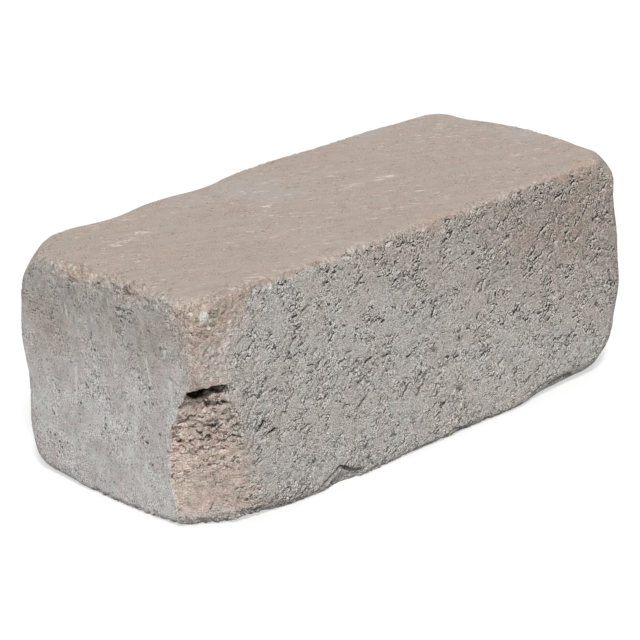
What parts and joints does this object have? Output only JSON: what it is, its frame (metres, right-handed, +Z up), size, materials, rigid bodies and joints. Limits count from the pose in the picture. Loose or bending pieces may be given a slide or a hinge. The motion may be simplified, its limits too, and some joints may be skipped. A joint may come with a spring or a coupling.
{
  "type": "concrete wall block",
  "caption": "Tumbled rectangular concrete wall block with flat bed faces, worn uneven arrises, rounded corners and a spalled lower corner under a ledge.",
  "frame": {"origin": "centre of the lower bed face", "axes": "+X along the block's length, -Y towards the pitted long face, +Z up from bed to bed"},
  "size_m": [0.381, 0.178, 0.152],
  "materials": {
    "concrete": "matt cast concrete, warm grey, with open pits on the long face, smooth beds and pinkish aggregate bared at the spall"
  },
  "bodies": {
    "root": {"wall_block": "concrete"}
  },
  "joints": []
}
